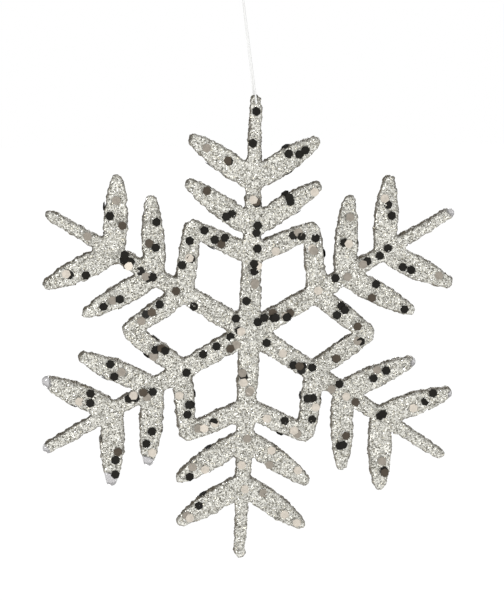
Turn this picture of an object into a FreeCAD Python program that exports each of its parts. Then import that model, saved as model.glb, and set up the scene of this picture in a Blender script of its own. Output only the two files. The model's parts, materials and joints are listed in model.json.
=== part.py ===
import FreeCAD, Part
import math
import os
import random
from collections import namedtuple

# A hanging snowflake ornament: a flat moulded core of six fronds, each a stem with
# three pairs of leaves, glued sequins on both faces, and a loop of thread to hang it by.
# Millimetres, +Z up. The snowflake lies in the XZ plane and its front faces -Y.
# The origin is the centre of the hanging ring at the top of the thread.

Vector = FreeCAD.Vector
ORIGIN = Vector(0, 0, 0)
THROUGH = Vector(0, 1, 0)

# ---- Driving dimensions -------------------------------------------------------------
CORE_THICKNESS = 3.5

# The six fronds in order, clockwise from the top, with the length of each stem.
STEM_LENGTHS = {
    "top": 70.0,
    "upper_right": 70.5,
    "lower_right": 70.5,
    "bottom": 68.5,
    "lower_left": 70.5,
    "upper_left": 69.5,
}
# How far each stem's tip has warped aside, clockwise round the hub.
TIP_SHIFTS = {
    "top": 0.0,
    "upper_right": -2.2,
    "lower_right": 2.4,
    "bottom": 1.2,
    "lower_left": -1.2,
    "upper_left": -0.4,
}
# How far each frond's middle and outer leaves sit beyond the roots given below.
LEAF_SHIFTS = {
    "top": -0.5,
    "upper_right": 1.2,
    "lower_right": 1.9,
    "bottom": 0.6,
    "lower_left": 1.3,
    "upper_left": 1.2,
}
# Leaves that have warped on their own, in degrees clockwise about their roots.
LEAF_TURNS = {
    ("upper_right", "middle", "right"): 2.0,
    ("lower_right", "outer", "left"): 5.0,
    ("lower_left", "outer", "right"): -2.0,
    ("lower_left", "outer", "left"): -2.5,
    ("lower_left", "middle", "right"): -2.5,
    ("upper_left", "outer", "right"): 5.0,
    ("upper_left", "middle", "left"): -3.0,
}
STEM_ROOT_WIDTH = 6.2
STEM_TIP_WIDTH = 3.0
STEM_TIP_ROUND = 1.45

# Each leaf leaves the stem at its root, at an angle from the stem.
INNER_ROOT, INNER_ANGLE = 22.8, 65.5
MIDDLE_ROOT, MIDDLE_ANGLE, MIDDLE_LENGTH = 31.4, 56.0, 23.9
OUTER_ROOT, OUTER_ANGLE, OUTER_LENGTH = 45.2, 56.0, 22.9
INNER_OVERSHOOT = 6.0
STAR_RADIUS = 37.4
LEAF_ROOT_WIDTH = 5.0
INNER_WIDTH, MIDDLE_WIDTH, OUTER_WIDTH = 5.5, 6.4, 6.7
LEAF_TIP_WIDTH = 2.8
BELLY_SHARE = 0.5
TIP_SHARE = 0.55

# The hole for the thread, in the tip of the top stem.
HOLE_CLEARANCE = 0.3
HOLE_FROM_TIP = 2.4

# Hanging attitude: the thread and the snowflake lean opposite ways.
THREAD_LEAN = 7.0
THREAD_DROP = 47.96
SNOWFLAKE_LEAN = 1.6

# Sequins: thin hexagons glued on flat.
HEXAGON_SIDES = 6
HEXAGON_TURN = 360.0 / HEXAGON_SIDES
SEQUIN_ACROSS_FLATS = 2.4
SEQUIN_THICKNESS = 0.12
GLUE_GAP = 0.02
SEQUIN_OVERHANG = 0.3
SEQUIN_SEED = 24
STACKING_CLEARANCE = 0.1
TIP_SEQUIN_CLEARANCE = 0.3
FRONT_COLOURS = ("black", "champagne", "black", "taupe", "black", "bronze", "black", "black")
PALE_FROND = "bottom"
PALE_FROND_COLOURS = ("champagne", "taupe", "champagne", "black", "champagne", "taupe")
BACK_COLOURS = ("black", "black", "pale")
TIP_SEQUIN_COLOUR = "black"
LEAF_SEQUINS = {"inner": 4, "middle": 3, "outer": 3}
BACK_LEAF_SEQUINS = {"inner": 1, "middle": 1, "outer": 1}
STEM_SEQUINS = {
    "top": 12,
    "upper_right": 12,
    "lower_right": 11,
    "bottom": 7,
    "lower_left": 9,
    "upper_left": 13,
}
BACK_STEM_SEQUINS = dict.fromkeys(STEM_LENGTHS, 4)
# More of them near the hub, on the first part of each stem.
HUB_SEQUINS = {
    "top": 1,
    "upper_right": 4,
    "lower_right": 2,
    "bottom": 1,
    "lower_left": 4,
    "upper_left": 2,
}
BACK_HUB_SEQUINS = dict.fromkeys(STEM_LENGTHS, 1)
HUB_SEQUIN_REACH = 14.0
EDGE_SEQUIN_CHANCE = 0.4
EDGE_STANDOFF = 0.2
EDGE_WANDER = 2.5

# Thread.
THREAD_RADIUS = 0.25
RING_RADIUS = 2.25
KNOT_RADIUS = 0.85
RUNNING_GAP = 0.05
STRAND_GAP = 0.06
NECK_LENGTH = 2.0
STRAND_CLEARANCE = 0.35
WRAP_RADIUS = 0.5
SHOULDER_ABOVE_HOLE = 3.6
# An arc takes this share of its shorter run; past this half turn, in radians, it is a wrap.
ARC_SHARE_OF_RUN = 0.45
WRAP_HALF_TURN = 0.5

# ---- Worked-out places --------------------------------------------------------------
SIDES = {"left": -1, "right": 1}
SECTOR = 360.0 / len(STEM_LENGTHS)
HALF_SECTOR = SECTOR / 2
HUB_APOTHEM = STEM_ROOT_WIDTH / 2 / math.tan(math.radians(HALF_SECTOR))
HALF_THICKNESS = CORE_THICKNESS / 2
SECTOR_REACH = 2 * max(STEM_LENGTHS.values())

lean = math.radians(THREAD_LEAN)
THREAD_DOWN = Vector(math.sin(lean), 0, -math.cos(lean))
HOLE = THREAD_DOWN * THREAD_DROP
KNOT_DISTANCE = RING_RADIUS + THREAD_RADIUS + RUNNING_GAP + KNOT_RADIUS
NECK_TOP = KNOT_DISTANCE + KNOT_RADIUS + RUNNING_GAP
LOOP_TOP = NECK_TOP + NECK_LENGTH + RUNNING_GAP
STRAND_OUT = HALF_THICKNESS + STRAND_CLEARANCE + THREAD_RADIUS
STRAND_OFFSET = THREAD_RADIUS + STRAND_GAP / 2
HOLE_RADIUS = THREAD_RADIUS + HOLE_CLEARANCE
SEQUIN_REACH = SEQUIN_ACROSS_FLATS / 2 / math.cos(math.radians(HEXAGON_TURN / 2))
STACKING_REACH = 2 * SEQUIN_REACH + STACKING_CLEARANCE
TIP_SEQUIN_FROM_END = HOLE_FROM_TIP + HOLE_RADIUS + TIP_SEQUIN_CLEARANCE + SEQUIN_REACH

tilt = math.radians(SNOWFLAKE_LEAN)
HOLE_FROM_CENTRE = STEM_LENGTHS["top"] - HOLE_FROM_TIP
CENTRE = HOLE - Vector(math.sin(tilt), 0, math.cos(tilt)) * HOLE_FROM_CENTRE

sequin_random = random.Random(SEQUIN_SEED)


# A leaf's own sizes: length is as cut, usable the part of it that is left.
Leaf = namedtuple("Leaf", "kind root angle length usable width warps")


# ---- Helpers ------------------------------------------------------------------------
def save(shape, node):
    shape.exportStep(os.path.join("parts", node + ".step"))
    print(node, len(shape.Solids), "solids", round(shape.Volume, 3), "mm3")


def flat(across, along):
    """A point on the snowflake's own plane, at the back face."""
    return Vector(across, HALF_THICKNESS, along)


def frond_lean(frond):
    """How far a stem's warp turns what grows on it, in radians, clockwise."""
    return math.atan(TIP_SHIFTS[frond] / STEM_LENGTHS[frond])


def leaned(across, along, lean):
    return (
        across * math.cos(lean) + along * math.sin(lean),
        along * math.cos(lean) - across * math.sin(lean),
    )


def plate(edges):
    """A closed outline at the back face, made as thick as the core."""
    return Part.Face(Part.Wire(edges)).extrude(Vector(0, -CORE_THICKNESS, 0))


def put_in_place(shape, frond_index):
    """Turns a frond's piece round the centre, then hangs the snowflake from its hole."""
    shape.rotate(ORIGIN, THROUGH, SECTOR * frond_index + SNOWFLAKE_LEAN)
    shape.translate(CENTRE)
    return shape


# ---- The moulded core ---------------------------------------------------------------
def make_hub():
    angles = [math.radians(HALF_SECTOR + SECTOR * k) for k in range(len(STEM_LENGTHS))]
    reach = HUB_APOTHEM / math.cos(math.radians(HALF_SECTOR))
    corners = [flat(reach * math.sin(a), reach * math.cos(a)) for a in angles]
    outline = Part.makePolygon(corners + corners[:1])
    return plate(outline.Edges)


def make_stem(length, shift):
    root = STEM_ROOT_WIDTH / 2
    tip = STEM_TIP_WIDTH / 2
    shoulder = length - STEM_TIP_ROUND
    left = Part.LineSegment(flat(-root, HUB_APOTHEM), flat(shift - tip, shoulder))
    end = Part.Arc(flat(shift - tip, shoulder), flat(shift, length), flat(shift + tip, shoulder))
    right = Part.LineSegment(flat(shift + tip, shoulder), flat(root, HUB_APOTHEM))
    base = Part.LineSegment(flat(root, HUB_APOTHEM), flat(-root, HUB_APOTHEM))
    return plate([curve.toShape() for curve in (left, end, right, base)])


def on_leaf(leaf, side, lean, along_leaf, across_leaf):
    """Across and along the frond, of a point on a leaf; side is -1 left, 1 right."""
    turn = math.radians(leaf.angle)
    across = side * (along_leaf * math.sin(turn) - across_leaf * math.cos(turn))
    along = leaf.root + along_leaf * math.cos(turn) + across_leaf * math.sin(turn)
    return leaned(across, along, lean if leaf.warps else 0)


def make_leaf(leaf, side, lean):
    """A lens-shaped plate that grows from the stem's axis."""

    def at(along_leaf, across_leaf):
        return flat(*on_leaf(leaf, side, lean, along_leaf, across_leaf))

    length, width = leaf.length, leaf.width
    root = LEAF_ROOT_WIDTH / 2
    tip = LEAF_TIP_WIDTH / 2
    belly = length * BELLY_SHARE
    shoulder = length - tip * TIP_SHARE
    upper = Part.Arc(at(0, root), at(belly, width / 2), at(shoulder, tip))
    end = Part.Arc(at(shoulder, tip), at(length, 0), at(shoulder, -tip))
    lower = Part.Arc(at(shoulder, -tip), at(belly, -width / 2), at(0, -root))
    base = Part.LineSegment(at(0, -root), at(0, root))
    return plate([curve.toShape() for curve in (upper, end, lower, base)])


def make_star_disc():
    """What rounds off the star's outer corners."""
    return Part.makeCylinder(STAR_RADIUS, CORE_THICKNESS, flat(0, 0), -THROUGH)


def make_sector():
    """The wedge that one frond keeps to, so neighbours meet face to face."""
    reach = SECTOR_REACH * math.tan(math.radians(HALF_SECTOR))
    corners = [flat(0, 0), flat(-reach, SECTOR_REACH), flat(reach, SECTOR_REACH)]
    return plate(Part.makePolygon(corners + corners[:1]).Edges)


def inner_reach():
    """How far an inner leaf's axis runs before it meets its neighbour's."""
    turn = math.radians(INNER_ANGLE)
    slope = math.tan(math.radians(HALF_SECTOR))
    return INNER_ROOT * slope / (math.sin(turn) - math.cos(turn) * slope)


def leaf_kinds():
    """The leaves on one side of a stem; only the inner ones stay put on a warped stem."""
    inner = inner_reach()
    return (
        Leaf("inner", INNER_ROOT, INNER_ANGLE, inner + INNER_OVERSHOOT, inner, INNER_WIDTH, False),
        Leaf("middle", MIDDLE_ROOT, MIDDLE_ANGLE, MIDDLE_LENGTH, MIDDLE_LENGTH, MIDDLE_WIDTH, True),
        Leaf("outer", OUTER_ROOT, OUTER_ANGLE, OUTER_LENGTH, OUTER_LENGTH, OUTER_WIDTH, True),
    )


def leaves_of(frond):
    """Each leaf of a frond as it lies, with the name and sign of its side."""
    for leaf in leaf_kinds():
        for side_name, side in SIDES.items():
            root = leaf.root + (LEAF_SHIFTS[frond] if leaf.warps else 0.0)
            turn = LEAF_TURNS.get((frond, leaf.kind, side_name), 0.0)
            yield leaf._replace(root=root, angle=leaf.angle + side * turn), side_name, side


def make_hole():
    start = Vector(0, -CORE_THICKNESS, HOLE_FROM_CENTRE)
    return Part.makeCylinder(HOLE_RADIUS, 2 * CORE_THICKNESS, start, THROUGH)


def write_core():
    save(put_in_place(make_hub(), 0), "hub")
    sector, disc = make_sector(), make_star_disc()
    for index, (frond, length) in enumerate(STEM_LENGTHS.items()):
        stem = make_stem(length, TIP_SHIFTS[frond])
        for leaf, side_name, side in leaves_of(frond):
            shape = make_leaf(leaf, side, frond_lean(frond)).cut(stem).common(sector)
            if not leaf.warps:
                shape = shape.common(disc)
            save(put_in_place(shape, index), f"{frond}_{leaf.kind}_leaf_{side_name}")
        if frond == "top":
            stem = stem.cut(make_hole())
        save(put_in_place(stem, index), f"{frond}_stem")


# ---- Sequins ------------------------------------------------------------------------
def stem_place(length, lean, likeliest, last):
    """A random place on a stem, from beside the centre to last."""
    along = sequin_random.triangular(SEQUIN_ACROSS_FLATS, last, likeliest)
    width = STEM_ROOT_WIDTH + (STEM_TIP_WIDTH - STEM_ROOT_WIDTH) * along / length
    room = max((width - SEQUIN_ACROSS_FLATS) / 2, 0) + SEQUIN_OVERHANG
    return leaned(sequin_random.uniform(-room, room), along, lean)


def leaf_place(leaf, side, lean):
    """A random place on a leaf, with less room across towards its tip."""
    along_leaf = sequin_random.uniform(STEM_ROOT_WIDTH, leaf.usable - SEQUIN_ACROSS_FLATS)
    taper = 1 - max(along_leaf / leaf.usable - BELLY_SHARE, 0)
    room = max((leaf.width * taper - SEQUIN_ACROSS_FLATS) / 2, 0) + SEQUIN_OVERHANG
    across_leaf = sequin_random.uniform(-room, room)
    return on_leaf(leaf, side, lean, along_leaf, across_leaf)


def frond_places(frond, stem_count, hub_count, leaf_counts):
    length, lean = STEM_LENGTHS[frond], frond_lean(frond)
    last = length - TIP_SEQUIN_FROM_END - 2 * SEQUIN_ACROSS_FLATS
    places = [stem_place(length, lean, MIDDLE_ROOT, last) for _ in range(stem_count)]
    near = SEQUIN_ACROSS_FLATS
    places += [stem_place(length, lean, near, HUB_SEQUIN_REACH) for _ in range(hub_count)]
    for leaf, _, side in leaves_of(frond):
        places += [leaf_place(leaf, side, lean) for _ in range(leaf_counts[leaf.kind])]
    return places


def make_edge_sequin(leaf, side, lean, wall):
    """A hexagon on a leaf's side wall, edge-on from the front; wall is -1 or 1."""
    along_leaf = leaf.usable * BELLY_SHARE + sequin_random.uniform(-EDGE_WANDER, EDGE_WANDER)
    near = wall * (leaf.width / 2 + EDGE_STANDOFF)
    start = flat(*on_leaf(leaf, side, lean, along_leaf, near))
    outward = flat(*on_leaf(leaf, side, lean, along_leaf, near + wall)) - start
    run = flat(*on_leaf(leaf, side, lean, along_leaf + 1, near)) - start
    corners = []
    for k in range(HEXAGON_SIDES):
        angle = math.radians(HEXAGON_TURN * k)
        sideways = run * (SEQUIN_REACH * math.cos(angle))
        corners.append(start + sideways + THROUGH * (SEQUIN_REACH * math.sin(angle) - HALF_THICKNESS))
    hexagon = Part.Face(Part.makePolygon(corners + corners[:1]))
    return hexagon.extrude(outward * SEQUIN_THICKNESS)


def edge_sequins():
    sequins = []
    for index, frond in enumerate(STEM_LENGTHS):
        for leaf, _, side in leaves_of(frond):
            for wall in (-1, 1):
                if sequin_random.random() < EDGE_SEQUIN_CHANCE:
                    sequin = make_edge_sequin(leaf, side, frond_lean(frond), wall)
                    sequins.append(put_in_place(sequin, index))
    return sequins


def make_sequin(across, along, layer, face):
    """One hexagon on a face (-1 front, 1 back), raised by the sequins beneath it."""
    turn = sequin_random.uniform(0, HEXAGON_TURN)
    step = SEQUIN_THICKNESS + GLUE_GAP
    level = face * (HALF_THICKNESS + GLUE_GAP + layer * step)
    corners = []
    for k in range(HEXAGON_SIDES):
        angle = math.radians(turn + HEXAGON_TURN * k)
        corner_across = across + SEQUIN_REACH * math.sin(angle)
        corner_along = along + SEQUIN_REACH * math.cos(angle)
        corners.append(Vector(corner_across, level, corner_along))
    hexagon = Part.Face(Part.makePolygon(corners + corners[:1]))
    return hexagon.extrude(Vector(0, face * SEQUIN_THICKNESS, 0))


def scatter(face, colours, stem_counts, hub_counts, leaf_counts):
    """Sequins of one face by colour; one that lands on others lies on top of them."""
    by_colour = {colour: [] for colour in colours}
    laid = []
    count = 0
    for index, (frond, length) in enumerate(STEM_LENGTHS.items()):
        places = frond_places(frond, stem_counts[frond], hub_counts[frond], leaf_counts)
        cycle = PALE_FROND_COLOURS if frond == PALE_FROND and face < 0 else colours
        chosen = [cycle[(count + k) % len(cycle)] for k in range(len(places))]
        count += len(places)
        if frond == "top" and face < 0:
            places.append((0.0, length - TIP_SEQUIN_FROM_END))
            chosen.append(TIP_SEQUIN_COLOUR)
        turn = math.radians(SECTOR * index)
        for (across, along), colour in zip(places, chosen):
            x = across * math.cos(turn) + along * math.sin(turn)
            z = along * math.cos(turn) - across * math.sin(turn)
            under = [level for px, pz, level in laid if math.dist((px, pz), (x, z)) < STACKING_REACH]
            layer = max(under) + 1 if under else 0
            laid.append((x, z, layer))
            sequin = put_in_place(make_sequin(x, z, layer, face), 0)
            by_colour[colour].append(sequin)
    return by_colour


def write_sequins():
    front = scatter(-1, FRONT_COLOURS, STEM_SEQUINS, HUB_SEQUINS, LEAF_SEQUINS)
    for colour, sequins in front.items():
        save(Part.makeCompound(sequins), f"{colour}_sequins_front")
    back = scatter(1, BACK_COLOURS, BACK_STEM_SEQUINS, BACK_HUB_SEQUINS, BACK_LEAF_SEQUINS)
    for colour, sequins in back.items():
        save(Part.makeCompound(sequins), f"{colour}_sequins_back")
    save(Part.makeCompound(edge_sequins()), "black_sequins_edge")


# ---- Thread -------------------------------------------------------------------------
def on_thread(distance, offset):
    """A point so far down the thread's line from the ring, moved front to back."""
    return THREAD_DOWN * distance + THROUGH * offset


def rounded_wire(points, largest):
    """Straight runs joined by tangent arcs; each arc takes what its runs allow."""
    edges = []
    start = points[0]
    for before, corner, after in zip(points, points[1:], points[2:]):
        back, ahead = before - corner, after - corner
        half_turn = (math.pi - back.getAngle(ahead)) / 2
        room = ARC_SHARE_OF_RUN * min(back.Length, ahead.Length)
        radius = min(room / math.tan(half_turn), largest if half_turn > WRAP_HALF_TURN else math.inf)
        trim = radius * math.tan(half_turn)
        back.normalize()
        ahead.normalize()
        enter, leave = corner + back * trim, corner + ahead * trim
        bisector = back + ahead
        bisector.normalize()
        middle = corner + bisector * (radius / math.cos(half_turn) - radius)
        edges.append(Part.LineSegment(start, enter).toShape())
        edges.append(Part.Arc(enter, middle, leave).toShape())
        print("thread arc radius", round(radius, 2))
        start = leave
    edges.append(Part.LineSegment(start, points[-1]).toShape())
    return Part.Wire(edges)


def make_loop():
    """Down the front, through the hole and up the back, spread to clear the stem's tip."""
    shoulder = THREAD_DROP - SHOULDER_ABOVE_HOLE
    route = [
        on_thread(LOOP_TOP, -STRAND_OFFSET),
        on_thread(shoulder, -STRAND_OUT),
        on_thread(THREAD_DROP, -STRAND_OUT),
        on_thread(THREAD_DROP, STRAND_OUT),
        on_thread(shoulder, STRAND_OUT),
        on_thread(LOOP_TOP, STRAND_OFFSET),
    ]
    path = rounded_wire(route, WRAP_RADIUS)
    heading = route[1] - route[0]
    circle = Part.makeCircle(THREAD_RADIUS, route[0], heading)
    tube = path.makePipeShell([Part.Wire(circle)], True, True)
    expected = math.pi * THREAD_RADIUS ** 2 * path.Length
    print("loop length", round(path.Length, 2), "volume", round(tube.Volume, 3), "of", round(expected, 3))
    return tube


def make_neck():
    strands = []
    for offset in (-STRAND_OFFSET, STRAND_OFFSET):
        start = on_thread(NECK_TOP, offset)
        strands.append(Part.makeCylinder(THREAD_RADIUS, NECK_LENGTH, start, THREAD_DOWN))
    return Part.makeCompound(strands)


def write_thread():
    save(Part.makeTorus(RING_RADIUS, THREAD_RADIUS, ORIGIN, THROUGH), "thread_hanging_ring")
    save(Part.makeSphere(KNOT_RADIUS, on_thread(KNOT_DISTANCE, 0)), "thread_knot")
    save(make_neck(), "thread_neck")
    save(make_loop(), "thread_loop")


os.makedirs("parts", exist_ok=True)
write_core()
write_sequins()
write_thread()
print("centre", CENTRE, "hole", HOLE)
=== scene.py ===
import json
import math
import random

import bpy
from mathutils import Euler, Matrix, Vector


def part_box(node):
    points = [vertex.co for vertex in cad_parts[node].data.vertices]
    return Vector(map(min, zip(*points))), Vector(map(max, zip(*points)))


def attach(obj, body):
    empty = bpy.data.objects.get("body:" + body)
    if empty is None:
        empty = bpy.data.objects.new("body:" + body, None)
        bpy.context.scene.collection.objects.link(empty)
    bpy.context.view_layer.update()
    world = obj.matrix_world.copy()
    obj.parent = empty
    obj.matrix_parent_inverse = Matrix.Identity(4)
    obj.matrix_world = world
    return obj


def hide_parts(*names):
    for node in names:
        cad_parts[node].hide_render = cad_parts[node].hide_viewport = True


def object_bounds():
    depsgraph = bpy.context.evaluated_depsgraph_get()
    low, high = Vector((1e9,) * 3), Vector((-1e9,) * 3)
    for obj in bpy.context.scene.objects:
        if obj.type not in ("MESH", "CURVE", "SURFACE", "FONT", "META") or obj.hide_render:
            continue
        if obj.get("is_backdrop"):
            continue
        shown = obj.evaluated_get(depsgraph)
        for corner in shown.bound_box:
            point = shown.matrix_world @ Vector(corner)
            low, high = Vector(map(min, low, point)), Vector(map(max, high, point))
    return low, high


bl_info = {
    "name": "Glitter Snowflake",
    "version": (1, 0, 0),
    "blender": (4, 5, 0),
    "location": "3D View > Sidebar > Snowflake",
    "description": "Builds the finished look of a hanging glitter snowflake on its frame",
    "category": "Object",
}

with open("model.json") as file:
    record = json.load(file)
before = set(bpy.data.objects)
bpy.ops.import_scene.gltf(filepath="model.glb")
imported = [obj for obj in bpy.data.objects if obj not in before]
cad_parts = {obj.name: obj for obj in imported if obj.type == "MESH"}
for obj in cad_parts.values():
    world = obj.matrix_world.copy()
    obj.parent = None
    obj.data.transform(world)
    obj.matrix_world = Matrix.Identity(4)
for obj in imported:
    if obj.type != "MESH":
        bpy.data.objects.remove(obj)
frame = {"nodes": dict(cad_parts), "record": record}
CAD_LOW, CAD_HIGH = (Vector(corner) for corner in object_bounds())

SNOWFLAKE = "snowflake"
MM = 0.001
CORD_NODES = set(frame["record"]["physics"]["cord_nodes"])
SEQUIN_NODES = sorted(name for name in frame["nodes"] if "_sequins_" in name)
CORE_NODES = sorted(set(frame["nodes"]) - CORD_NODES - set(SEQUIN_NODES))
# The ends that the coat missed, and how far back from its end each is bare, in mm.
BARE_TIPS = {
    "lower_left_outer_leaf_left": 3.6,
    "lower_left_outer_leaf_right": 2.6,
    "lower_left_middle_leaf_left": 2.8,
    "lower_left_stem": 1.8,
    "lower_right_middle_leaf_left": 1.6,
    "lower_right_outer_leaf_left": 1.3,
    "upper_right_stem": 1.8,
}


# ---- Settings a user would change ---------------------------------------------------
def length(name, description, default_mm):
    return bpy.props.FloatProperty(
        name=name, description=description, default=default_mm * MM, unit="LENGTH", precision=5
    )


def colour(name, description, default):
    return bpy.props.FloatVectorProperty(
        name=name, description=description, default=default, subtype="COLOR", min=0, max=1
    )


class SnowflakeSizes(bpy.types.PropertyGroup):
    coat_voxel: length("Coat detail", "Size of the smallest lump in the coat", 0.46)
    coat_lump: length("Lump height", "How far the glitter coat stands up and down", 1.5)
    lump_spread: length("Lump spread", "Distance from one lump to the next", 1.7)
    flake_radius: length("Flake radius", "Half the width of one flake of glitter", 0.21)
    flake_density: bpy.props.FloatProperty(
        name="Flake density",
        description="Flakes of each colour on a square millimetre",
        default=0.78,
    )
    sequin_lift: length("Sequin lift", "How far the sequins stand off the core", 0.3)
    sequin_tilt: bpy.props.FloatProperty(
        name="Sequin tilt",
        description="Most that a sequin leans",
        default=math.radians(8),
        subtype="ANGLE",
    )
    thread_diameter: length("Thread diameter", "Thickness of the thread", 0.5)


class SnowflakeColours(bpy.types.PropertyGroup):
    coat: colour("Coat", "Glue and glitter between the flakes", (0.42, 0.40, 0.345))
    silver: colour("Silver flakes", "Brightest flakes", (0.93, 0.92, 0.85))
    champagne: colour("Champagne flakes", "Warm flakes", (0.72, 0.68, 0.55))
    pewter: colour("Pewter flakes", "Middle grey flakes", (0.40, 0.385, 0.325))
    umber: colour("Umber flakes", "Darkest flakes", (0.10, 0.092, 0.07))
    # Painted shade: the dark colour the coat takes on its side walls.
    shade: colour("Side walls", "Painted shade on the side walls", (0.19, 0.165, 0.125))
    clear: colour("Bare plastic", "Clear plastic at the bare tips", (0.63, 0.62, 0.625))
    thread: colour("Thread", "White nylon", (0.78, 0.78, 0.77))


# ---- Small helpers ------------------------------------------------------------------
MERGE_DISTANCE = 0.002 * MM


def deselect():
    if bpy.context.mode != "OBJECT":
        bpy.ops.object.mode_set(mode="OBJECT")
    bpy.ops.object.select_all(action="DESELECT")


def make_active(piece):
    deselect()
    piece.select_set(True)
    bpy.context.view_layer.objects.active = piece


def copy_of_node(name, new_name):
    """A new object with its own copy of a CAD node's mesh."""
    piece = bpy.data.objects.new(new_name, frame["nodes"][name].data.copy())
    piece.data.materials.clear()
    bpy.context.scene.collection.objects.link(piece)
    return piece


def merge_vertices(piece):
    make_active(piece)
    bpy.ops.object.mode_set(mode="EDIT")
    bpy.ops.mesh.select_all(action="SELECT")
    bpy.ops.mesh.remove_doubles(threshold=MERGE_DISTANCE)
    bpy.ops.object.mode_set(mode="OBJECT")


def apply_modifier(piece, kind, **settings):
    make_active(piece)
    modifier = piece.modifiers.new(kind.title(), kind)
    for key, value in settings.items():
        setattr(modifier, key, value)
    bpy.ops.object.modifier_apply(modifier=modifier.name)


def join(pieces, name):
    deselect()
    for piece in pieces:
        piece.select_set(True)
    bpy.context.view_layer.objects.active = pieces[0]
    bpy.ops.object.join()
    joined = bpy.context.active_object
    joined.name = name
    return joined


def dress(piece, material):
    piece.data.materials.clear()
    piece.data.materials.append(material)


def node_middle(name):
    """The middle of a CAD node's box."""
    return sum((Vector(corner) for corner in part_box(name)), Vector()) / 2


def farthest_vertex(name, start):
    places = (vertex.co.copy() for vertex in frame["nodes"][name].data.vertices)
    return max(places, key=lambda place: (place - start).length)


# ---- Materials ----------------------------------------------------------------------
# Scales are in cells or ripples to the metre.
COAT_ROUGHNESS, COAT_METALLIC = 0.34, 0.35
COAT_GRAIN, COAT_SPARKLE = 2900.0, 0.75
CLEAR_ROUGHNESS, CLEAR_GLOSS = 0.14, 0.3
CLEAR_TRANSMISSION, CLEAR_IOR = 0.72, 1.47
CLEAR_RIPPLES, CLEAR_RIPPLE_STRENGTH, CLEAR_RIPPLE_DEPTH = 700.0, 0.35, 0.2 * MM
FLAKE_METALLIC = 0.85
FLAKE_DARKEST, FLAKE_LIGHTEST = 0.62, 1.18
FOIL_ROUGHNESS, FOIL_METALLIC, FOIL_SPECULAR = 0.4, 0.2, 0.1
FOIL_CLOUDS, FOIL_CLOUD_DETAIL = 900.0, 3.0
FOIL_DARKEST, FOIL_LIGHTEST, FOIL_DUST = 0.7, 1.25, 0.004
FOIL_SMOOTHEST, FOIL_ROUGHEST = 0.32, 0.55
NYLON_ROUGHNESS, NYLON_SPECULAR, NYLON_GLOSS = 0.38, 0.5, 0.2
NYLON_LINES = (9000.0, 9000.0, 500.0)
NYLON_LINE_STRENGTH, NYLON_LINE_DEPTH = 0.25, 0.02 * MM
# The Mix node has a set of sockets for each kind of value; these are the colour ones.
MIX_FIRST, MIX_SECOND, MIX_RESULT = 6, 7, 2


def new_material(name, base, roughness, metallic=0.0, specular=0.5, coat=0.0):
    material = bpy.data.materials.new(name)
    material.use_nodes = True
    shader = material.node_tree.nodes["Principled BSDF"]
    shader.inputs["Base Color"].default_value = (*base, 1)
    shader.inputs["Roughness"].default_value = roughness
    shader.inputs["Metallic"].default_value = metallic
    shader.inputs["Specular IOR Level"].default_value = specular
    shader.inputs["Coat Weight"].default_value = coat
    return material, shader


def shaded(base, factor, lift=0.0):
    """A colour made darker or lighter, up to white."""
    return [min(part * factor + lift, 1) for part in base]


def object_place(tree):
    """The socket that gives each point's place on its piece."""
    return tree.nodes.new("ShaderNodeTexCoord").outputs["Object"]


def attribute_value(tree, name):
    """The socket that gives a value stored on the mesh."""
    stored = tree.nodes.new("ShaderNodeAttribute")
    stored.attribute_name = name
    return stored.outputs["Fac"]


def mix_colours(tree, factor, first, second):
    """The mix of two colours, each of them a socket or a plain colour."""
    mix = tree.nodes.new("ShaderNodeMix")
    mix.data_type = "RGBA"
    tree.links.new(factor, mix.inputs["Factor"])
    for index, shade in ((MIX_FIRST, first), (MIX_SECOND, second)):
        if isinstance(shade, bpy.types.NodeSocket):
            tree.links.new(shade, mix.inputs[index])
        else:
            mix.inputs[index].default_value = (*shade, 1)
    return mix.outputs[MIX_RESULT]


def vector_step(tree, operation, vector):
    """A node that takes one step of arithmetic on a vector."""
    step = tree.nodes.new("ShaderNodeVectorMath")
    step.operation = operation
    tree.links.new(vector, step.inputs[0])
    return step


def noise_bump(tree, shader, place, scale, strength, depth):
    """Fine ripples in a surface."""
    noise = tree.nodes.new("ShaderNodeTexNoise")
    noise.inputs["Scale"].default_value = scale
    tree.links.new(place, noise.inputs["Vector"])
    bump = tree.nodes.new("ShaderNodeBump")
    bump.inputs["Strength"].default_value = strength
    bump.inputs["Distance"].default_value = depth
    tree.links.new(noise.outputs["Fac"], bump.inputs["Height"])
    tree.links.new(bump.outputs["Normal"], shader.inputs["Normal"])


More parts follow.
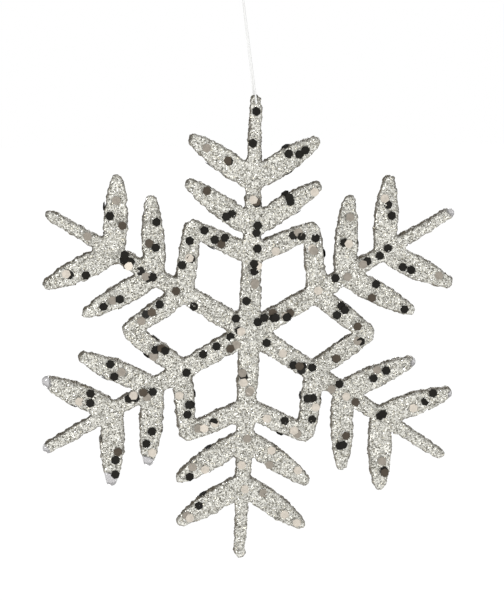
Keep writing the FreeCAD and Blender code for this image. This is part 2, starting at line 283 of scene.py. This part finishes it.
def grain_group():
    """Cells of random tone, each tilted its own way."""
    group = bpy.data.node_groups.new("Glitter grain", "ShaderNodeTree")
    for name, kind in (
        ("Dark", "NodeSocketColor"),
        ("Light", "NodeSocketColor"),
        ("Scale", "NodeSocketFloat"),
        ("Sparkle", "NodeSocketFloat"),
    ):
        group.interface.new_socket(name, in_out="INPUT", socket_type=kind)
    for name, kind in (("Color", "NodeSocketColor"), ("Normal", "NodeSocketVector")):
        group.interface.new_socket(name, in_out="OUTPUT", socket_type=kind)
    nodes, links = group.nodes, group.links
    given = nodes.new("NodeGroupInput")
    result = nodes.new("NodeGroupOutput")
    cells = nodes.new("ShaderNodeTexVoronoi")
    links.new(object_place(group), cells.inputs["Vector"])
    links.new(given.outputs["Scale"], cells.inputs["Scale"])
    split = nodes.new("ShaderNodeSeparateColor")
    links.new(cells.outputs["Color"], split.inputs["Color"])
    tone = mix_colours(group, split.outputs["Red"], given.outputs["Dark"], given.outputs["Light"])
    lean = vector_step(group, "SUBTRACT", cells.outputs["Color"])
    lean.inputs[1].default_value = (0.5, 0.5, 0.5)
    tilt = vector_step(group, "SCALE", lean.outputs[0])
    links.new(given.outputs["Sparkle"], tilt.inputs["Scale"])
    surface = nodes.new("ShaderNodeNewGeometry")
    tilted = vector_step(group, "ADD", surface.outputs["Normal"])
    links.new(tilt.outputs[0], tilted.inputs[1])
    unit = vector_step(group, "NORMALIZE", tilted.outputs[0])
    links.new(tone, result.inputs["Color"])
    links.new(unit.outputs[0], result.inputs["Normal"])
    return group


def coat_material(colours):
    """Glitter held in clear glue, giving way to painted shade on the side walls."""
    material, shader = new_material(
        "Glitter coat", colours.coat, COAT_ROUGHNESS, metallic=COAT_METALLIC
    )
    tree = material.node_tree
    grain = tree.nodes.new("ShaderNodeGroup")
    grain.node_tree = grain_group()
    grain.inputs["Dark"].default_value = (*colours.umber, 1)
    grain.inputs["Light"].default_value = (*colours.silver, 1)
    grain.inputs["Scale"].default_value = COAT_GRAIN
    grain.inputs["Sparkle"].default_value = COAT_SPARKLE
    wall = attribute_value(tree, "wall")
    # Painted shade on the side walls, mixed in by the wall value.
    painted_wall_shade = mix_colours(tree, wall, grain.outputs["Color"], colours.shade)
    tree.links.new(painted_wall_shade, shader.inputs["Base Color"])
    tree.links.new(grain.outputs["Normal"], shader.inputs["Normal"])
    return material


def clear_material(colours):
    """Clear plastic, slightly milky, with the faint ripples of a moulding."""
    material, shader = new_material(
        "Clear plastic", colours.clear, CLEAR_ROUGHNESS, coat=CLEAR_GLOSS
    )
    shader.inputs["Transmission Weight"].default_value = CLEAR_TRANSMISSION
    shader.inputs["IOR"].default_value = CLEAR_IOR
    tree = material.node_tree
    noise_bump(
        tree, shader, object_place(tree), CLEAR_RIPPLES, CLEAR_RIPPLE_STRENGTH, CLEAR_RIPPLE_DEPTH
    )
    return material


def flake_material(name, base, roughness):
    """One colour of flake, each a little lighter or darker than the next."""
    material, shader = new_material(name, base, roughness, metallic=FLAKE_METALLIC)
    tree = material.node_tree
    dark, light = shaded(base, FLAKE_DARKEST), shaded(base, FLAKE_LIGHTEST)
    tone = mix_colours(tree, attribute_value(tree, "tone"), dark, light)
    tree.links.new(tone, shader.inputs["Base Color"])
    return material


def foil_material(slot_name):
    """Sequin foil in the record's own colour, faintly mottled."""
    entry = next(m for m in frame["record"]["materials"] if m["slot"] == slot_name)
    base = entry["base_color"][:3]
    material, shader = new_material(
        "Foil " + slot_name, base, FOIL_ROUGHNESS, metallic=FOIL_METALLIC, specular=FOIL_SPECULAR
    )
    tree = material.node_tree
    cloud = tree.nodes.new("ShaderNodeTexNoise")
    cloud.inputs["Scale"].default_value = FOIL_CLOUDS
    cloud.inputs["Detail"].default_value = FOIL_CLOUD_DETAIL
    tree.links.new(object_place(tree), cloud.inputs["Vector"])
    dark, light = shaded(base, FOIL_DARKEST), shaded(base, FOIL_LIGHTEST, FOIL_DUST)
    tone = mix_colours(tree, cloud.outputs["Fac"], dark, light)
    tree.links.new(tone, shader.inputs["Base Color"])
    rough = tree.nodes.new("ShaderNodeMapRange")
    rough.inputs["To Min"].default_value = FOIL_SMOOTHEST
    rough.inputs["To Max"].default_value = FOIL_ROUGHEST
    tree.links.new(cloud.outputs["Fac"], rough.inputs["Value"])
    tree.links.new(rough.outputs["Result"], shader.inputs["Roughness"])
    return material


def thread_material(colours):
    """Smooth nylon with faint drawing lines along it."""
    material, shader = new_material(
        "Nylon thread", colours.thread, NYLON_ROUGHNESS, specular=NYLON_SPECULAR, coat=NYLON_GLOSS
    )
    tree = material.node_tree
    lines = tree.nodes.new("ShaderNodeMapping")
    lines.inputs["Scale"].default_value = NYLON_LINES
    tree.links.new(object_place(tree), lines.inputs["Vector"])
    place = lines.outputs["Vector"]
    noise_bump(tree, shader, place, 1.0, NYLON_LINE_STRENGTH, NYLON_LINE_DEPTH)
    return material


# ---- Core and glitter ---------------------------------------------------------------
BEAD_RADIUS = 1.55 * MM
BEAD_SET_BACK = 1.25 * MM
BEAD_DETAIL = 4
LEAF_END_BAND = 0.35 * MM
TIP_FADE = 0.8 * MM
BARE_ENOUGH = 0.5
# The front-to-back part of the normal on a face, and where a side wall is reached.
FACING, EDGE_ON = 0.75, 0.4
SMOOTHING, SMOOTHING_PASSES = 0.5, 4
LUMP_DEPTH, LUMP_LEVEL = 3, 0.47

# Each tone of flake: roughness, share of the density, and what of it the walls keep. The walls
# keep more of the darkest tone and less of the bright ones: painted shade.
GLITTER_TONES = (
    ("silver", 0.22, 1.25, 0.25),
    ("champagne", 0.28, 1.0, 0.4),
    ("pewter", 0.3, 1.0, 0.9),
    ("umber", 0.35, 0.6, 1.6),
)
# Two pieces to a tone, so that none has too many faces.
GLITTER_LAYERS = 2
GLITTER_SEED, SEEDS_PER_TONE, SEEDS_PER_LAYER = 40, 10, 100
FLAKE_SIDES, FLAKE_FLATNESS = 5, 0.22
FLAKE_LEAN = 0.7
FLAKE_SMALLEST, FLAKE_LARGEST = 0.7, 1.25
# The least, most and result sockets of the Random Value node, for each kind of value.
RANDOM_SOCKETS = {"FLOAT_VECTOR": (0, 1, 0), "FLOAT": (2, 3, 1)}


def spread_between(point, tip):
    """How far apart two points are as seen from the front."""
    return math.hypot(point.x - tip.x, point.z - tip.z)


def add_tip_bead(name):
    """A rounded end for a bare leaf, standing as far past the leaf as the coat does."""
    places = [vertex.co for vertex in frame["nodes"][name].data.vertices]
    middle = sum(places, Vector()) / len(places)
    along = farthest_vertex(name, node_middle("hub")) - middle
    along.y = 0
    along.normalize()
    reach = max((place - middle).dot(along) for place in places)
    start = reach - LEAF_END_BAND
    last = [place for place in places if (place - middle).dot(along) > start]
    centre = sum(last, Vector()) / len(last) - along * BEAD_SET_BACK
    centre.y = middle.y
    deselect()
    bpy.ops.mesh.primitive_ico_sphere_add(
        subdivisions=BEAD_DETAIL, radius=BEAD_RADIUS, location=centre
    )
    bead = bpy.context.active_object
    bpy.ops.object.transform_apply(location=True)
    return bead


def mark_bare_tips(core):
    """Writes how bare each point is, from 1 at a listed tip to 0, and how coated."""
    hub = node_middle("hub")
    tips = [(farthest_vertex(name, hub), reach * MM) for name, reach in BARE_TIPS.items()]
    coated = core.vertex_groups.new(name="coated")
    values = []
    for vertex in core.data.vertices:
        spare = max(reach - spread_between(vertex.co, tip) for tip, reach in tips)
        bare = min(max(1 + spare / TIP_FADE, 0), 1)
        values.append(bare)
        coated.add([vertex.index], 1 - bare, "REPLACE")
    attribute = core.data.attributes.new("bare", "FLOAT", "POINT")
    attribute.data.foreach_set("value", values)


def part_clear_tips(core):
    """Parts the bare ends from the coated core, and closes both at the cuts."""
    make_active(core)
    context = bpy.context
    context.tool_settings.mesh_select_mode = (False, False, True)
    bpy.ops.object.mode_set(mode="EDIT")
    bpy.ops.mesh.select_all(action="DESELECT")
    bpy.ops.object.mode_set(mode="OBJECT")
    bare = core.data.attributes["bare"].data
    for face in core.data.polygons:
        face.select = all(bare[index].value > BARE_ENOUGH for index in face.vertices)
    bpy.ops.object.mode_set(mode="EDIT")
    bpy.ops.mesh.separate(type="SELECTED")
    bpy.ops.object.mode_set(mode="OBJECT")
    tips = next(piece for piece in context.selected_objects if piece is not core)
    tips.name = "clear_tips"
    for piece in (core, tips):
        make_active(piece)
        bpy.ops.object.mode_set(mode="EDIT")
        bpy.ops.mesh.select_all(action="SELECT")
        bpy.ops.mesh.fill_holes(sides=0)
        bpy.ops.object.mode_set(mode="OBJECT")
    return tips


def mark_walls(core):
    """Writes how far each point belongs to a side wall, from 0 on a face to 1."""
    values = []
    for vertex in core.data.vertices:
        wall = (FACING - abs(vertex.normal.y)) / (FACING - EDGE_ON)
        values.append(min(max(wall, 0), 1))
    # The coat's painted shade on the side walls follows this value.
    attribute = core.data.attributes.new("wall", "FLOAT", "POINT")
    attribute.data.foreach_set("value", values)


class SNOWFLAKE_OT_core(bpy.types.Operator):
    """Moulds the six fronds and the hub as one lumpy coated piece with clear tips"""

    bl_idname = "snowflake.core"
    bl_label = "Glittered core"

    def execute(self, context):
        sizes = context.scene.snowflake_sizes
        members = [copy_of_node(name, "core_" + name) for name in CORE_NODES]
        beads = [add_tip_bead(name) for name in BARE_TIPS if "leaf" in name]
        core = join(members + beads, "glittered_core")
        merge_vertices(core)
        apply_modifier(core, "REMESH", mode="VOXEL", voxel_size=sizes.coat_voxel)
        apply_modifier(core, "SMOOTH", factor=SMOOTHING, iterations=SMOOTHING_PASSES)
        mark_bare_tips(core)
        mark_walls(core)
        lumps = bpy.data.textures.new("Coat lumps", "CLOUDS")
        lumps.noise_scale = sizes.lump_spread
        lumps.noise_depth = LUMP_DEPTH
        apply_modifier(
            core, "DISPLACE", texture=lumps, strength=sizes.coat_lump, mid_level=LUMP_LEVEL,
            texture_coords="LOCAL", vertex_group="coated",
        )
        tips = part_clear_tips(core)
        for piece in (tips, core):
            make_active(piece)
            bpy.ops.object.shade_smooth()
            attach(piece, SNOWFLAKE)
        colours = context.scene.snowflake_colours
        dress(core, coat_material(colours))
        dress(tips, clear_material(colours))
        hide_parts(*CORE_NODES)
        return {"FINISHED"}


def fade_by(group, name, start, end):
    """A value that goes from start to end as a stored one goes from 0 to 1."""
    stored = group.nodes.new("GeometryNodeInputNamedAttribute")
    stored.data_type = "FLOAT"
    stored.inputs["Name"].default_value = name
    fade = group.nodes.new("ShaderNodeMapRange")
    fade.inputs["To Min"].default_value = start
    fade.inputs["To Max"].default_value = end
    group.links.new(stored.outputs["Attribute"], fade.inputs["Value"])
    return fade.outputs["Result"]


def random_value(group, kind, least, most, seed):
    """A random value of its own for each flake."""
    chance = group.nodes.new("FunctionNodeRandomValue")
    chance.data_type = kind
    first, second, result = RANDOM_SOCKETS[kind]
    chance.inputs[first].default_value = least
    chance.inputs[second].default_value = most
    chance.inputs["Seed"].default_value = seed
    return chance.outputs[result]


def scatter_group(flake, density, wall_share, seed):
    """Geometry nodes that strew tilted copies of a flake over a surface."""
    group = bpy.data.node_groups.new("Strew flakes", "GeometryNodeTree")
    for way in ("INPUT", "OUTPUT"):
        group.interface.new_socket("Geometry", in_out=way, socket_type="NodeSocketGeometry")
    nodes, links = group.nodes, group.links
    given = nodes.new("NodeGroupInput")
    result = nodes.new("NodeGroupOutput")
    spread = nodes.new("ShaderNodeMath")
    spread.operation = "MULTIPLY"
    links.new(fade_by(group, "bare", density, 0.0), spread.inputs[0])
    # The walls' share of each tone darkens their flake mix, as painted shade.
    links.new(fade_by(group, "wall", 1.0, wall_share), spread.inputs[1])
    points = nodes.new("GeometryNodeDistributePointsOnFaces")
    points.inputs["Seed"].default_value = seed
    links.new(given.outputs[0], points.inputs["Mesh"])
    links.new(spread.outputs[0], points.inputs["Density"])
    most = Vector((FLAKE_LEAN, FLAKE_LEAN, math.pi))
    lean = random_value(group, "FLOAT_VECTOR", -most, most, seed + 1)
    turn = nodes.new("FunctionNodeRotateRotation")
    turn.rotation_space = "LOCAL"
    links.new(points.outputs["Rotation"], turn.inputs["Rotation"])
    links.new(lean, turn.inputs["Rotate By"])
    source = nodes.new("GeometryNodeObjectInfo")
    source.inputs["Object"].default_value = flake
    strewn = nodes.new("GeometryNodeInstanceOnPoints")
    size = random_value(group, "FLOAT", FLAKE_SMALLEST, FLAKE_LARGEST, seed + 2)
    links.new(points.outputs["Points"], strewn.inputs["Points"])
    links.new(source.outputs["Geometry"], strewn.inputs["Instance"])
    links.new(turn.outputs["Rotation"], strewn.inputs["Rotation"])
    links.new(size, strewn.inputs["Scale"])
    store = nodes.new("GeometryNodeStoreNamedAttribute")
    store.domain = "INSTANCE"
    store.inputs["Name"].default_value = "tone"
    links.new(strewn.outputs["Instances"], store.inputs["Geometry"])
    links.new(random_value(group, "FLOAT", 0.0, 1.0, seed + 3), store.inputs["Value"])
    real = nodes.new("GeometryNodeRealizeInstances")
    links.new(store.outputs["Geometry"], real.inputs["Geometry"])
    links.new(real.outputs["Geometry"], result.inputs[0])
    return group


def make_flake(radius):
    """One flake: a flat five-sided crystal, closed, with ten faces."""
    deselect()
    bpy.ops.mesh.primitive_uv_sphere_add(segments=FLAKE_SIDES, ring_count=2, radius=radius)
    flake = bpy.context.active_object
    bpy.ops.object.mode_set(mode="EDIT")
    bpy.ops.mesh.select_all(action="SELECT")
    bpy.ops.transform.resize(value=(1, 1, FLAKE_FLATNESS))
    bpy.ops.object.mode_set(mode="OBJECT")
    return flake


class SNOWFLAKE_OT_glitter(bpy.types.Operator):
    """Strews the coat with flakes of glitter in four tones"""

    bl_idname = "snowflake.glitter"
    bl_label = "Glitter flakes"

    def execute(self, context):
        sizes, colours = context.scene.snowflake_sizes, context.scene.snowflake_colours
        core = bpy.data.objects["glittered_core"]
        flake = make_flake(sizes.flake_radius)
        per_square_metre = sizes.flake_density / MM ** 2
        for index, (tone, roughness, share, wall_share) in enumerate(GLITTER_TONES):
            name = tone.title() + " flakes"
            material = flake_material(name, getattr(colours, tone), roughness)
            density = per_square_metre * share / GLITTER_LAYERS
            for layer in range(GLITTER_LAYERS):
                piece = bpy.data.objects.new(f"{tone}_glitter_{layer + 1}", core.data.copy())
                context.scene.collection.objects.link(piece)
                seed = GLITTER_SEED + SEEDS_PER_TONE * index + SEEDS_PER_LAYER * layer
                group = scatter_group(flake, density, wall_share, seed)
                apply_modifier(piece, "NODES", node_group=group)
                dress(piece, material)
                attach(piece, SNOWFLAKE)
        bpy.data.objects.remove(flake)
        return {"FINISHED"}


# ---- Sequins ------------------------------------------------------------------------
SEQUIN_SEED = 11
SEQUIN_BEVEL = 0.035 * MM
# Sequins on the side walls lean this many times more than those on a face.
WALL_TILT = 2.5
# Least and most that a sequin stands off, as shares of the lift.
LIFT_RANGE = (0.8, 1.5)


def mesh_depth(mesh):
    depths = [vertex.co.y for vertex in mesh.vertices]
    return max(depths) - min(depths)


def first_place(piece):
    """Where a piece's first vertex is, to sort pieces in an order that never changes."""
    return tuple(piece.data.vertices[0].co)


def settle_sequin(sequin, lift, tilt, chance):
    """Leans a sequin a little and stands it off the coat, as glue holds it."""
    mesh = sequin.data
    centre = sum((v.co for v in mesh.vertices), Vector()) / len(mesh.vertices)
    on_a_face = abs(centre.y) > mesh_depth(mesh)
    outward = Vector((0, math.copysign(1, centre.y) if on_a_face else 0, 0))
    if not on_a_face:
        tilt *= WALL_TILT
    lean = Euler((chance.uniform(-tilt, tilt), 0, chance.uniform(-tilt, tilt)))
    away = outward * lift * chance.uniform(*LIFT_RANGE)
    turn = lean.to_matrix().to_4x4()
    mesh.transform(Matrix.Translation(centre + away) @ turn @ Matrix.Translation(-centre))


class SNOWFLAKE_OT_sequins(bpy.types.Operator):
    """Bevels, tilts and colours every glued sequin"""

    bl_idname = "snowflake.sequins"
    bl_label = "Sequins"

    def execute(self, context):
        sizes = context.scene.snowflake_sizes
        chance = random.Random(SEQUIN_SEED)
        for name in SEQUIN_NODES:
            group = copy_of_node(name, name + "_glued")
            merge_vertices(group)
            make_active(group)
            bpy.ops.object.mode_set(mode="EDIT")
            bpy.ops.mesh.select_all(action="SELECT")
            bpy.ops.mesh.separate(type="LOOSE")
            bpy.ops.object.mode_set(mode="OBJECT")
            loose = sorted(context.selected_objects, key=first_place)
            for sequin in loose:
                settle_sequin(sequin, sizes.sequin_lift, sizes.sequin_tilt, chance)
            piece = join(loose, name + "_glued")
            apply_modifier(piece, "BEVEL", width=SEQUIN_BEVEL, segments=1, limit_method="ANGLE")
            slot = name.split("_")[0] + "_sequin"
            dress(piece, foil_material(slot))
            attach(piece, SNOWFLAKE)
            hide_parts(name)
        return {"FINISHED"}


# ---- Thread -------------------------------------------------------------------------
THREAD_LEAN = math.radians(7.0)
THREAD_DOWN = Vector((math.sin(THREAD_LEAN), 0, -math.cos(THREAD_LEAN)))
RING_RADIUS = 2.25 * MM
KNOT_DISTANCE = 3.4 * MM
# From the ring down to the hole, to the loop's top, and how the strands part, in mm.
HOLE_DROP, LOOP_TOP = 47.96, 6.35
STRAND_OFFSET, STRAND_OUT = 0.28, 2.35
SHOULDER_RISE = 3.6
WRAP_RISE, WRAP_BULGE, WRAP_SAG = 0.9, 0.25, 0.15
# One strand's way: how far down the thread, and how far out from the middle, in mm.
STRAND_ROUTE = (
    (LOOP_TOP, STRAND_OFFSET),
    (HOLE_DROP - SHOULDER_RISE, STRAND_OUT),
    (HOLE_DROP - WRAP_RISE, STRAND_OUT + WRAP_BULGE),
    (HOLE_DROP + WRAP_SAG, STRAND_OUT - WRAP_SAG),
)
# Down the front, through the hole and up the back.
THREAD_ROUTE = (*((down, -out) for down, out in STRAND_ROUTE), *reversed(STRAND_ROUTE))
# How finely a cord is divided round and along, and the order of its curve.
CORD_ROUND, CORD_ALONG, CORD_ORDER = 4, 16, 3
KNOT_STEPS, KNOT_SPREAD = 24, 0.21 * MM
# The knot's depth against its spread, and its cord, pulled thin, against the thread.
KNOT_DEPTH, KNOT_CORD = 1.4, 0.9


def add_spline(name, points, diameter, closed=False):
    """A smooth round cord through control points, as a curve piece."""
    curve = bpy.data.curves.new(name, "CURVE")
    curve.dimensions = "3D"
    curve.bevel_depth = diameter / 2
    curve.bevel_resolution = CORD_ROUND
    curve.resolution_u = CORD_ALONG
    curve.use_fill_caps = not closed
    spline = curve.splines.new("NURBS")
    spline.points.add(len(points) - 1)
    for slot, point in zip(spline.points, points):
        slot.co = (*point, 1)
    spline.order_u = CORD_ORDER
    spline.use_endpoint_u = not closed
    spline.use_cyclic_u = closed
    piece = bpy.data.objects.new(name, curve)
    bpy.context.scene.collection.objects.link(piece)
    return piece


def knot_points(centre):
    """A pulled-tight overhand knot, as a small trefoil turned to face the front."""
    points = []
    for step in range(KNOT_STEPS):
        angle = 2 * math.pi * step / KNOT_STEPS
        across = math.sin(angle) + 2 * math.sin(2 * angle)
        along = math.cos(angle) - 2 * math.cos(2 * angle)
        through = -math.sin(3 * angle) * KNOT_DEPTH
        points.append(centre + Vector((across, through, along)) * KNOT_SPREAD)
    return points


def tie_to_ring(knot, diameter):
    """Two short strands that run from the knot up into the ring."""
    for side in (-1, 1):
        spline = knot.data.splines.new("POLY")
        spline.points.add(1)
        out = Vector((0, side * diameter / 2, 0))
        spline.points[0].co = (*(THREAD_DOWN * RING_RADIUS), 1)
        spline.points[1].co = (*(THREAD_DOWN * KNOT_DISTANCE + out), 1)
    knot.data.use_fill_caps = True


class SNOWFLAKE_OT_thread(bpy.types.Operator):
    """Hangs the snowflake on its nylon thread, with a knot and a ring"""

    bl_idname = "snowflake.thread"
    bl_label = "Thread"

    def execute(self, context):
        diameter = context.scene.snowflake_sizes.thread_diameter
        nylon = thread_material(context.scene.snowflake_colours)
        points = [(THREAD_DOWN * down + Vector((0, out, 0))) * MM for down, out in THREAD_ROUTE]
        strand = add_spline("hanging_thread", points, diameter)
        loops = knot_points(THREAD_DOWN * KNOT_DISTANCE)
        knot = add_spline("overhand_knot", loops, diameter * KNOT_CORD, closed=True)
        tie_to_ring(knot, diameter * KNOT_CORD)
        for piece, body, node in (
            (strand, "loop", "thread_loop"),
            (knot, "knot", "thread_knot"),
        ):
            dress(piece, nylon)
            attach(piece, body)
            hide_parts(node)
        for name in ("thread_hanging_ring", "thread_neck"):
            dress(frame["nodes"][name], nylon)
        return {"FINISHED"}


# ---- Stage --------------------------------------------------------------------------
CAMERA_AZIMUTH = math.radians(-6.0)
CAMERA_ELEVATION = math.radians(8.5)
CAMERA_DISTANCE = 0.65
VIEW_HEIGHT = 0.178
AIM_ABOVE_HUB = 9.3 * MM
AIM_RIGHT_OF_HUB = 0.8 * MM
FLOOR_PAINT = (0.1, 0.1, 0.1)
FLOOR_ROUGHNESS, FLOOR_GLOW = 0.9, 1.0
FLOOR_SIZE, FLOOR_DROP = 12, 0.35
SURROUND, BACKDROP = 0.34, 1.0
# Each lamp: where it stands from the hub, its width in metres and its power in watts.
LAMPS = {
    "Key": ((-0.4, -1.15, 0.3), 0.35, 8),
    "Fill": ((0.9, -0.8, 0.0), 0.6, 2.0),
    "Rim": ((0.3, 1.0, 0.4), 0.6, 3),
}


def add_area_light(name, place, target, size, power):
    light = bpy.data.lights.new(name, "AREA")
    light.shape = "DISK"
    light.size = size
    light.energy = power
    lamp = bpy.data.objects.new(name, light)
    lamp.location = place
    lamp.rotation_euler = (target - place).to_track_quat("-Z", "Y").to_euler()
    bpy.context.scene.collection.objects.link(lamp)


def light_world(surround, backdrop):
    """White behind the object, and a dimmer surround for it to reflect."""
    world = bpy.data.worlds.new("Studio")
    bpy.context.scene.world = world
    world.use_nodes = True
    nodes, links = world.node_tree.nodes, world.node_tree.links
    soft = nodes["Background"]
    soft.inputs["Color"].default_value = (1, 1, 1, 1)
    soft.inputs["Strength"].default_value = surround
    white = nodes.new("ShaderNodeBackground")
    white.inputs["Color"].default_value = (1, 1, 1, 1)
    white.inputs["Strength"].default_value = backdrop
    path = nodes.new("ShaderNodeLightPath")
    mix = nodes.new("ShaderNodeMixShader")
    links.new(path.outputs["Is Camera Ray"], mix.inputs["Fac"])
    links.new(soft.outputs[0], mix.inputs[1])
    links.new(white.outputs[0], mix.inputs[2])
    links.new(mix.outputs[0], nodes["World Output"].inputs["Surface"])


class SNOWFLAKE_OT_stage(bpy.types.Operator):
    """Sets the pale floor, the soft lights and the camera"""

    bl_idname = "snowflake.stage"
    bl_label = "Stage"

    def execute(self, context):
        hub = node_middle("hub")
        flat_back = Vector((math.sin(CAMERA_AZIMUTH), -math.cos(CAMERA_AZIMUTH), 0))
        back = flat_back * math.cos(CAMERA_ELEVATION) + Vector((0, 0, math.sin(CAMERA_ELEVATION)))
        right = Vector((math.cos(CAMERA_AZIMUTH), math.sin(CAMERA_AZIMUTH), 0))
        aim = hub + Vector((0, 0, AIM_ABOVE_HUB)) + right * AIM_RIGHT_OF_HUB
        camera_data = bpy.data.cameras.new("Camera")
        camera_data.lens = camera_data.sensor_width * CAMERA_DISTANCE / VIEW_HEIGHT
        camera = bpy.data.objects.new("Camera", camera_data)
        camera.location = aim + back * CAMERA_DISTANCE
        camera.rotation_euler = (-back).to_track_quat("-Z", "Y").to_euler()
        context.scene.collection.objects.link(camera)
        context.scene.camera = camera

        deselect()
        place = (0, 0, CAD_LOW.z - FLOOR_DROP)
        bpy.ops.mesh.primitive_plane_add(size=FLOOR_SIZE, location=place)
        floor = context.active_object
        floor.name = "studio_floor"
        paint, shader = new_material("Pale floor", FLOOR_PAINT, FLOOR_ROUGHNESS, specular=0.0)
        shader.inputs["Emission Color"].default_value = (1, 1, 1, 1)
        shader.inputs["Emission Strength"].default_value = FLOOR_GLOW
        dress(floor, paint)
        floor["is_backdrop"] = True

        light_world(SURROUND, BACKDROP)
        for name, (offset, size, power) in LAMPS.items():
            add_area_light(name, hub + Vector(offset), hub, size, power)
        context.scene.view_settings.view_transform = "Standard"
        return {"FINISHED"}


# ---- Panel and registration ---------------------------------------------------------
class SNOWFLAKE_PT_panel(bpy.types.Panel):
    bl_label = "Glitter Snowflake"
    bl_idname = "SNOWFLAKE_PT_panel"
    bl_space_type = "VIEW_3D"
    bl_region_type = "UI"
    bl_category = "Snowflake"

    def draw(self, context):
        for settings in (context.scene.snowflake_sizes, context.scene.snowflake_colours):
            box = self.layout.box()
            for key in type(settings).__annotations__:
                box.prop(settings, key)
        for operator in OPERATORS:
            self.layout.operator(operator.bl_idname)


OPERATORS = (
    SNOWFLAKE_OT_stage,
    SNOWFLAKE_OT_thread,
    SNOWFLAKE_OT_core,
    SNOWFLAKE_OT_glitter,
    SNOWFLAKE_OT_sequins,
)
CLASSES = (SnowflakeSizes, SnowflakeColours, *OPERATORS, SNOWFLAKE_PT_panel)


def register():
    for cls in CLASSES:
        bpy.utils.register_class(cls)
    bpy.types.Scene.snowflake_sizes = bpy.props.PointerProperty(type=SnowflakeSizes)
    bpy.types.Scene.snowflake_colours = bpy.props.PointerProperty(type=SnowflakeColours)


def unregister():
    del bpy.types.Scene.snowflake_sizes
    del bpy.types.Scene.snowflake_colours
    for cls in reversed(CLASSES):
        bpy.utils.unregister_class(cls)


def main():
    register()
    bpy.ops.snowflake.stage()
    bpy.ops.snowflake.thread()
    bpy.ops.snowflake.core()
    bpy.ops.snowflake.glitter()
    bpy.ops.snowflake.sequins()


if __name__ == "__main__":
    main()
